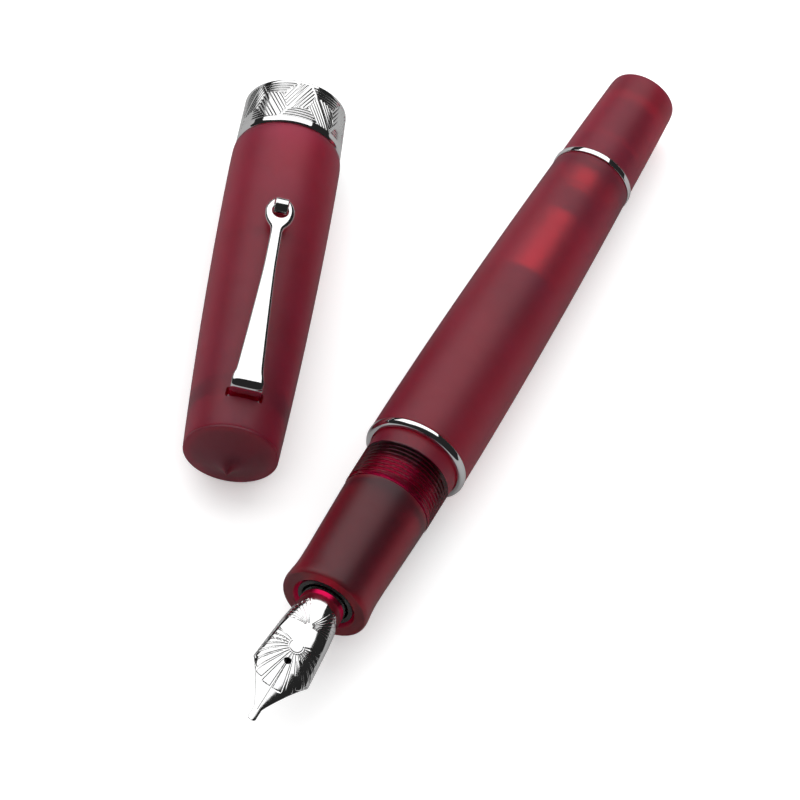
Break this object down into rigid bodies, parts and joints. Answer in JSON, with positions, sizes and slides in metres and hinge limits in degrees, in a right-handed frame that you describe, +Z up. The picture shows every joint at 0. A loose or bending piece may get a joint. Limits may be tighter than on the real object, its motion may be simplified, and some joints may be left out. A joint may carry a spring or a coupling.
{
  "type": "fountain pen",
  "caption": "Fountain pen in frosted ruby resin lying uncapped, with a stub nib, captive piston converter under a blind cap, and a cap with an engraved band and a roller clip.",
  "frame": {"origin": "on the table under the middle of the pen and its cap together", "axes": "+Y along the cap from crown to mouth, with the pen turned 18.67 degrees beside it and its nib towards -Y; +Z up from the table"},
  "size_m": [0.0608, 0.119, 0.0182],
  "materials": {
    "ruby_resin": "frosted translucent ruby resin, glossy on the cut threads",
    "chrome": "polished chrome plate, engraved on the cap band",
    "polished_steel": "polished stainless steel, engraved on the nib",
    "black_plastic": "black moulded plastic, satin",
    "smoke_plastic": "smoke grey moulded plastic, satin, ribbed",
    "clear_plastic": "clear moulded plastic",
    "black_rubber": "black rubber"
  },
  "bodies": {
    "pen": {"barrel": "ruby_resin", "barrel_front_ring": "chrome"},
    "section_seal": {"section_o_ring": "black_rubber"},
    "section": {"grip_section": "ruby_resin", "nib_housing": "black_plastic", "feed": "black_plastic", "nib": "polished_steel", "converter_tube": "clear_plastic", "converter_collar": "chrome"},
    "knob": {"converter_knob": "smoke_plastic", "knob_cuff": "chrome"},
    "piston": {"piston_rod": "polished_steel", "piston_head": "black_rubber"},
    "tail_trim": {"tail_ring": "chrome"},
    "blind_cap": {"blind_cap": "ruby_resin"},
    "cap": {"cap_sleeve": "ruby_resin", "crown_finial": "ruby_resin", "inner_cap": "ruby_resin", "cap_band": "chrome", "clip_ring": "polished_steel"},
    "clip": {"clip": "chrome", "roller_axle": "polished_steel"},
    "roller": {"clip_roller": "polished_steel"}
  },
  "joints": [
    {"name": "section_travel", "type": "slide", "parent": "pen", "child": "section_seal", "axis": [-0.3201, -0.9472, 0.019], "range_m": [0, 0.007]},
    {"name": "section_turn", "type": "hinge", "parent": "section_seal", "child": "section", "pos_m": [0.00213, -0.01231, 0.00752], "axis": [-0.3201, -0.9472, 0.019], "range_deg": [0, 2521]},
    {"name": "knob_turn", "type": "hinge", "parent": "section", "child": "knob", "pos_m": [0.02133, 0.04453, 0.00639], "axis": [-0.3201, -0.9472, 0.019], "range_deg": [-361, 2161]},
    {"name": "piston_travel", "type": "slide", "parent": "section", "child": "piston", "axis": [-0.3201, -0.9472, 0.019], "range_m": [-0.0025, 0.015]},
    {"name": "blind_cap_travel", "type": "slide", "parent": "pen", "child": "tail_trim", "axis": [0.3201, 0.9472, -0.019], "range_m": [0, 0.0045]},
    {"name": "blind_cap_turn", "type": "hinge", "parent": "tail_trim", "child": "blind_cap", "pos_m": [0.02133, 0.04453, 0.00639], "axis": [0.3201, 0.9472, -0.019], "range_deg": [0, 2161]},
    {"name": "cap_lift", "type": "slide", "parent": "pen", "child": "cap", "axis": [0, 0, 1], "range_m": [0, 0.03]},
    {"name": "clip_flex", "type": "hinge", "parent": "cap", "child": "clip", "pos_m": [-0.02207, -0.01029, 0.01355], "axis": [0.9957, 0.0016, -0.0924], "range_deg": [0, 4], "stiffness_Nm_per_rad": 0.3},
    {"name": "roller_spin", "type": "hinge", "parent": "clip", "child": "roller", "pos_m": [-0.02182, 0.01996, 0.01677], "axis": [0.9957, 0.0016, -0.0924], "continuous": true}
  ],
  "couplings": [
    {"joint": "section_turn", "follows": "section_travel", "rad_per_m": 6283.2},
    {"joint": "knob_turn", "follows": "piston_travel", "rad_per_m": 2513.3},
    {"joint": "blind_cap_turn", "follows": "blind_cap_travel", "rad_per_m": 8377.6}
  ]
}
